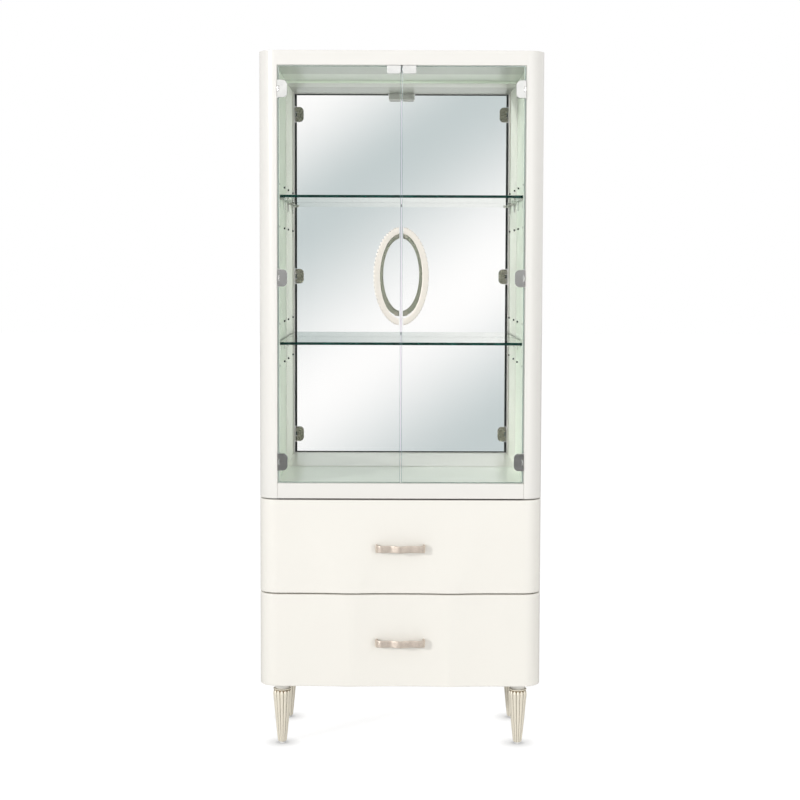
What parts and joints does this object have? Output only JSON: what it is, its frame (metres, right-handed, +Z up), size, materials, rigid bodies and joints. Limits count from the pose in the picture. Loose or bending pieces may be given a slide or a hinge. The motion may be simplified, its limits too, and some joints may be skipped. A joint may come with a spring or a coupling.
{
  "type": "curio cabinet",
  "caption": "Tall lacquered curio cabinet with glass doors, glass shelves and a mirror back over carved-front drawers, on tapered reeded legs.",
  "frame": {"origin": "centre of the bounding box on the floor, between the legs", "axes": "+X to the right seen from the front, +Y towards the back, +Z up"},
  "size_m": [0.848, 0.479, 2.092],
  "materials": {
    "outer_lacquer": "smooth warm white lacquer over board, semi gloss",
    "inner_lacquer": "smooth white lacquer over board, satin",
    "door_glass": "clear float glass with polished green edges",
    "shelf_glass": "clear float glass with polished green edges",
    "mirror": "silvered glass",
    "champagne_silver": "silver leaf with a champagne glaze, darker in the grooves",
    "polished_steel": "polished",
    "white_plastic": "smooth moulded",
    "zinc_steel": "bright zinc",
    "drawer_box_board": "sealed board, smooth"
  },
  "bodies": {
    "cabinet": {"back_left_leg": "champagne_silver", "back_panel": "outer_lacquer", "back_right_leg": "champagne_silver", "base_panel": "outer_lacquer", "bottom_rail": "outer_lacquer", "ceiling_panel": "inner_lacquer", "deck_panel": "inner_lacquer", "drawer_divider": "outer_lacquer", "front_left_leg": "champagne_silver", "front_right_leg": "champagne_silver", "latch_body": "white_plastic", "left_bottom_hinge_bracket": "polished_steel", "left_corner_post": "outer_lacquer", "left_middle_hinge_bracket": "polished_steel", "left_side_lining": "inner_lacquer", "left_side_panel": "outer_lacquer", "left_top_hinge_bracket": "polished_steel", "lower_drawer_left_runner": "zinc_steel", "lower_drawer_right_runner": "zinc_steel", "lower_shelf": "shelf_glass", "lower_shelf_support_left_back": "polished_steel", "lower_shelf_support_left_front": "polished_steel", "lower_shelf_support_right_back": "polished_steel", "lower_shelf_support_right_front": "polished_steel", "mirror": "mirror", "right_bottom_hinge_bracket": "polished_steel", "right_corner_post": "outer_lacquer", "right_middle_hinge_bracket": "polished_steel", "right_side_lining": "inner_lacquer", "right_side_panel": "outer_lacquer", "right_top_hinge_bracket": "polished_steel", "top_panel": "outer_lacquer", "top_rail": "outer_lacquer", "upper_drawer_left_runner": "zinc_steel", "upper_drawer_right_runner": "zinc_steel", "upper_shelf": "shelf_glass", "upper_shelf_support_left_back": "polished_steel", "upper_shelf_support_left_front": "polished_steel", "upper_shelf_support_right_back": "polished_steel", "upper_shelf_support_right_front": "polished_steel"},
    "left_door": {"left_bottom_hinge_clamp": "polished_steel", "left_door_glass": "door_glass", "left_door_handle": "champagne_silver", "left_door_strike": "polished_steel", "left_middle_hinge_clamp": "polished_steel", "left_top_hinge_clamp": "polished_steel"},
    "right_door": {"right_bottom_hinge_clamp": "polished_steel", "right_door_glass": "door_glass", "right_door_handle": "champagne_silver", "right_door_strike": "polished_steel", "right_middle_hinge_clamp": "polished_steel", "right_top_hinge_clamp": "polished_steel"},
    "left_latch_plunger": {"left_latch_plunger": "white_plastic"},
    "right_latch_plunger": {"right_latch_plunger": "white_plastic"},
    "upper_drawer": {"upper_drawer_box": "drawer_box_board", "upper_drawer_front": "outer_lacquer", "upper_drawer_pull": "champagne_silver"},
    "lower_drawer": {"lower_drawer_box": "drawer_box_board", "lower_drawer_front": "outer_lacquer", "lower_drawer_pull": "champagne_silver"}
  },
  "joints": [
    {"name": "left_door_hinge", "type": "hinge", "parent": "cabinet", "child": "left_door", "pos_m": [-0.3642, -0.1995, 1.428], "axis": [0, 0, -1], "range_deg": [0, 100]},
    {"name": "right_door_hinge", "type": "hinge", "parent": "cabinet", "child": "right_door", "pos_m": [0.3642, -0.1995, 1.428], "axis": [0, 0, 1], "range_deg": [0, 100]},
    {"name": "upper_drawer_slide", "type": "slide", "parent": "cabinet", "child": "upper_drawer", "axis": [0, -1, 0], "range_m": [0, 0.3]},
    {"name": "lower_drawer_slide", "type": "slide", "parent": "cabinet", "child": "lower_drawer", "axis": [0, -1, 0], "range_m": [0, 0.3]},
    {"name": "left_latch_press", "type": "slide", "parent": "cabinet", "child": "left_latch_plunger", "axis": [0, 1, 0], "range_m": [0, 0.003], "stiffness_N_per_m": 400},
    {"name": "right_latch_press", "type": "slide", "parent": "cabinet", "child": "right_latch_plunger", "axis": [0, 1, 0], "range_m": [0, 0.003], "stiffness_N_per_m": 400}
  ]
}
